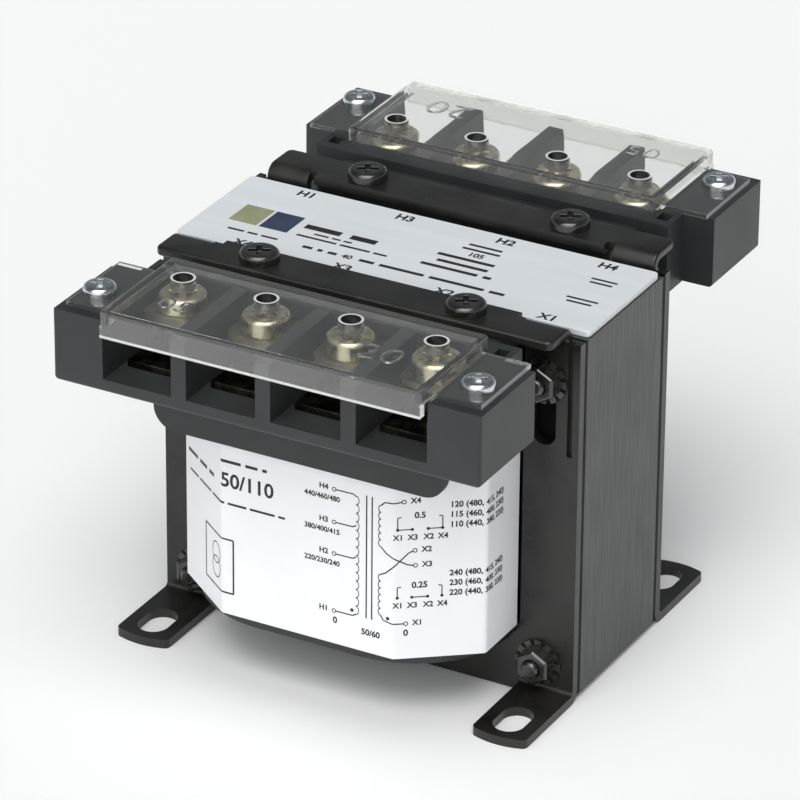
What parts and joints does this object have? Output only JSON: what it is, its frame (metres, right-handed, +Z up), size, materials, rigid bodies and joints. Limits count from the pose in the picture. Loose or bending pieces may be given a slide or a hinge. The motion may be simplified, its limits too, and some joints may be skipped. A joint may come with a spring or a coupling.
{
  "type": "control transformer",
  "caption": "Open-frame control transformer on slotted feet: laminated core, wrapped coil, and screw terminal blocks at front and rear under clear covers.",
  "frame": {"origin": "middle of the feet's underside, between the feet", "axes": "+Z up; +X along the terminal rows; -Y towards the front terminal block, the one of the output side"},
  "size_m": [0.0764, 0.1026, 0.0705],
  "materials": {
    "core_varnish": "dark varnish on stacked steel sheets",
    "black_steel": "smooth satin black paint",
    "black_moulding": "fine-grained moulded black",
    "black_shroud": "moulded black",
    "white_label": "satin printed film",
    "printed_plate": "satin pale print with a dark edge",
    "clear_plastic": "clear polished moulding",
    "black_fasteners": "blackened steel",
    "zinc_screws": "bright zinc plating",
    "plated_contacts": "dull nickel over brass",
    "plated_clamps": "nickel plating",
    "plated_screws": "nickel plating",
    "bobbin_nylon": "moulded nylon",
    "enamelled_wire": "enamelled copper wire in even layers",
    "insulation_film": "clear yellowish film",
    "outer_tape": "yellow film tape",
    "lead_wire": "sleeved copper wire"
  },
  "bodies": {
    "transformer": {"e_laminations": "core_varnish", "i_laminations": "core_varnish", "front_clamp_frame": "black_steel", "rear_clamp_frame": "black_steel", "front_terminal_block": "black_moulding", "rear_terminal_block": "black_moulding", "front_coil_shroud": "black_shroud", "rear_coil_shroud": "black_shroud", "front_coil_label": "white_label", "rear_coil_label": "white_label", "nameplate": "printed_plate", "front_cover": "clear_plastic", "rear_cover": "clear_plastic", "core_bolts": "black_fasteners", "hex_nuts": "black_fasteners", "star_washers": "black_fasteners", "block_screws": "black_fasteners", "cover_screws": "zinc_screws", "front_contact_bars": "plated_contacts", "rear_contact_bars": "plated_contacts", "bobbin": "bobbin_nylon", "primary_winding": "enamelled_wire", "secondary_winding": "enamelled_wire", "winding_insulation": "insulation_film", "outer_tape": "outer_tape", "primary_leads": "lead_wire", "secondary_leads": "lead_wire"},
    "plate_x4": {"clamp_plate_x4": "plated_clamps"},
    "screw_x4": {"terminal_screw_x4": "plated_screws"},
    "plate_x3": {"clamp_plate_x3": "plated_clamps"},
    "screw_x3": {"terminal_screw_x3": "plated_screws"},
    "plate_x2": {"clamp_plate_x2": "plated_clamps"},
    "screw_x2": {"terminal_screw_x2": "plated_screws"},
    "plate_x1": {"clamp_plate_x1": "plated_clamps"},
    "screw_x1": {"terminal_screw_x1": "plated_screws"},
    "plate_h1": {"clamp_plate_h1": "plated_clamps"},
    "screw_h1": {"terminal_screw_h1": "plated_screws"},
    "plate_h3": {"clamp_plate_h3": "plated_clamps"},
    "screw_h3": {"terminal_screw_h3": "plated_screws"},
    "plate_h2": {"clamp_plate_h2": "plated_clamps"},
    "screw_h2": {"terminal_screw_h2": "plated_screws"},
    "plate_h4": {"clamp_plate_h4": "plated_clamps"},
    "screw_h4": {"terminal_screw_h4": "plated_screws"}
  },
  "joints": [
    {"name": "plate_x4_slide", "type": "slide", "parent": "transformer", "child": "plate_x4", "axis": [0, 0, -1], "range_m": [0, 0.0049]},
    {"name": "screw_x4_turn", "type": "hinge", "parent": "plate_x4", "child": "screw_x4", "pos_m": [-0.0228, -0.0352, 0.0647], "axis": [0, 0, -1], "range_deg": [0, 2520]},
    {"name": "plate_x3_slide", "type": "slide", "parent": "transformer", "child": "plate_x3", "axis": [0, 0, -1], "range_m": [0, 0.0049]},
    {"name": "screw_x3_turn", "type": "hinge", "parent": "plate_x3", "child": "screw_x3", "pos_m": [-0.0076, -0.0352, 0.0647], "axis": [0, 0, -1], "range_deg": [0, 2520]},
    {"name": "plate_x2_slide", "type": "slide", "parent": "transformer", "child": "plate_x2", "axis": [0, 0, -1], "range_m": [0, 0.0049]},
    {"name": "screw_x2_turn", "type": "hinge", "parent": "plate_x2", "child": "screw_x2", "pos_m": [0.0076, -0.0352, 0.0647], "axis": [0, 0, -1], "range_deg": [0, 2520]},
    {"name": "plate_x1_slide", "type": "slide", "parent": "transformer", "child": "plate_x1", "axis": [0, 0, -1], "range_m": [0, 0.0049]},
    {"name": "screw_x1_turn", "type": "hinge", "parent": "plate_x1", "child": "screw_x1", "pos_m": [0.0228, -0.0352, 0.0647], "axis": [0, 0, -1], "range_deg": [0, 2520]},
    {"name": "plate_h1_slide", "type": "slide", "parent": "transformer", "child": "plate_h1", "axis": [0, 0, -1], "range_m": [0, 0.0049]},
    {"name": "screw_h1_turn", "type": "hinge", "parent": "plate_h1", "child": "screw_h1", "pos_m": [-0.0228, 0.0352, 0.0647], "axis": [0, 0, -1], "range_deg": [0, 2520]},
    {"name": "plate_h3_slide", "type": "slide", "parent": "transformer", "child": "plate_h3", "axis": [0, 0, -1], "range_m": [0, 0.0049]},
    {"name": "screw_h3_turn", "type": "hinge", "parent": "plate_h3", "child": "screw_h3", "pos_m": [-0.0076, 0.0352, 0.0647], "axis": [0, 0, -1], "range_deg": [0, 2520]},
    {"name": "plate_h2_slide", "type": "slide", "parent": "transformer", "child": "plate_h2", "axis": [0, 0, -1], "range_m": [0, 0.0049]},
    {"name": "screw_h2_turn", "type": "hinge", "parent": "plate_h2", "child": "screw_h2", "pos_m": [0.0076, 0.0352, 0.0647], "axis": [0, 0, -1], "range_deg": [0, 2520]},
    {"name": "plate_h4_slide", "type": "slide", "parent": "transformer", "child": "plate_h4", "axis": [0, 0, -1], "range_m": [0, 0.0049]},
    {"name": "screw_h4_turn", "type": "hinge", "parent": "plate_h4", "child": "screw_h4", "pos_m": [0.0228, 0.0352, 0.0647], "axis": [0, 0, -1], "range_deg": [0, 2520]}
  ],
  "couplings": [
    {"joint": "screw_x4_turn", "follows": "plate_x4_slide", "rad_per_m": 8975.9},
    {"joint": "screw_x3_turn", "follows": "plate_x3_slide", "rad_per_m": 8975.9},
    {"joint": "screw_x2_turn", "follows": "plate_x2_slide", "rad_per_m": 8975.9},
    {"joint": "screw_x1_turn", "follows": "plate_x1_slide", "rad_per_m": 8975.9},
    {"joint": "screw_h1_turn", "follows": "plate_h1_slide", "rad_per_m": 8975.9},
    {"joint": "screw_h3_turn", "follows": "plate_h3_slide", "rad_per_m": 8975.9},
    {"joint": "screw_h2_turn", "follows": "plate_h2_slide", "rad_per_m": 8975.9},
    {"joint": "screw_h4_turn", "follows": "plate_h4_slide", "rad_per_m": 8975.9}
  ]
}
